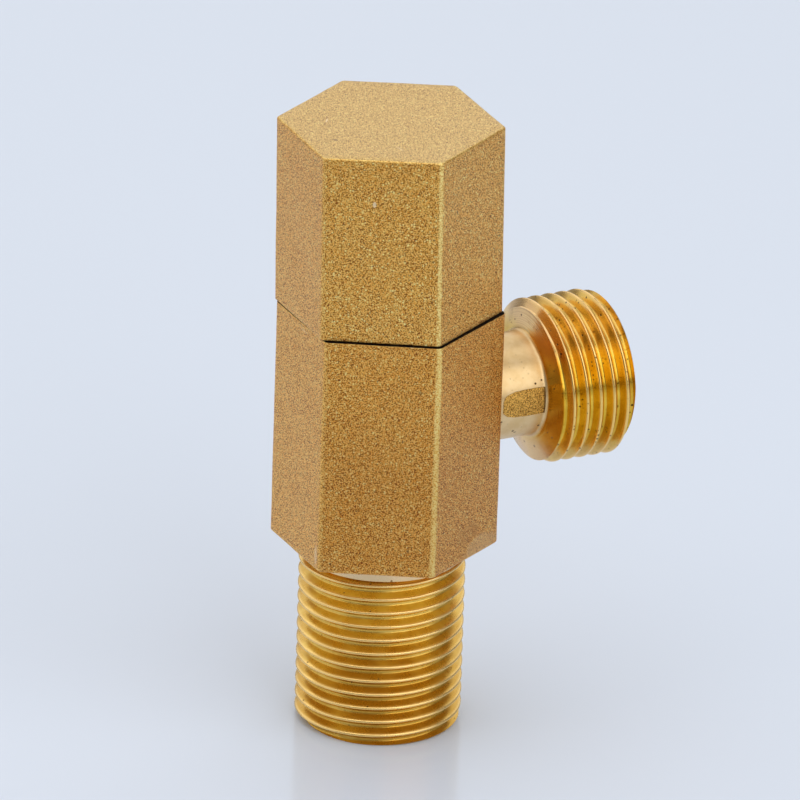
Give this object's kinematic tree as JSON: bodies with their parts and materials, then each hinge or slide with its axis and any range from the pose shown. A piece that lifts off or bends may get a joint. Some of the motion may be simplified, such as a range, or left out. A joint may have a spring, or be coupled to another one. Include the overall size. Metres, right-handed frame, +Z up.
{
  "type": "angle stop valve",
  "caption": "Hexagonal cast brass quarter-turn angle stop valve with threaded inlet, threaded side outlet and a hexagonal handle.",
  "frame": {"origin": "on the stem's axis, at the end face of the threaded inlet", "axes": "+Z up the stem from the inlet to the handle's top, +X out of the side outlet"},
  "size_m": [0.041, 0.0274, 0.078],
  "materials": {
    "cast_brass": "sand-cast skin, blasted",
    "handle_brass": "sand-cast skin, blasted",
    "turned_brass": "turned, bright",
    "steel": "plain",
    "rubber": "matt",
    "ceramic": "lapped ceramic",
    "plastic": "moulded"
  },
  "bodies": {
    "body": {"valve_body": "cast_brass", "cartridge_housing": "turned_brass", "thrust_washer": "plastic", "fixed_disc": "ceramic", "bottom_seal": "rubber", "seal_support_ring": "plastic", "housing_gasket": "rubber"},
    "handle_and_stem": {"handle": "handle_brass", "handle_set_screw": "steel", "stem": "turned_brass", "stop_ring": "steel", "stem_circlip": "steel", "stem_o_ring_lower": "rubber", "stem_o_ring_upper": "rubber", "moving_disc": "ceramic"}
  },
  "joints": [
    {"name": "handle_turn", "type": "hinge", "parent": "body", "child": "handle_and_stem", "pos_m": [0, 0, 0.0541], "axis": [0, 0, 1], "range_deg": [0, 90]}
  ]
}
